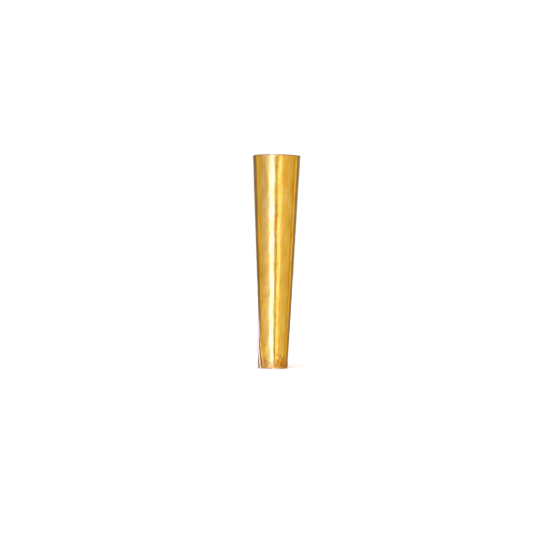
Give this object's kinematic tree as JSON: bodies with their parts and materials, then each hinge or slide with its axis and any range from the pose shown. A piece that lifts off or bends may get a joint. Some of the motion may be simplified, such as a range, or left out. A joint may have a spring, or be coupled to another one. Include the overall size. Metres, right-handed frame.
{
  "type": "guitar slide",
  "caption": "Tapered guitar slide rolled from thin sheet brass, open at both ends, with an unjoined lengthwise seam.",
  "frame": {"origin": "centre of the narrow rim, which the slide stands on", "axes": "+Z along the tube's axis, from the narrow rim to the wide mouth; the open seam faces -Y"},
  "size_m": [0.0174, 0.0174, 0.076],
  "materials": {
    "sheet_brass": "polished, with fine drawing lines, small stains and a mottled tarnish at the narrow end"
  },
  "bodies": {
    "root": {"rolled_tube": "sheet_brass"}
  },
  "joints": []
}
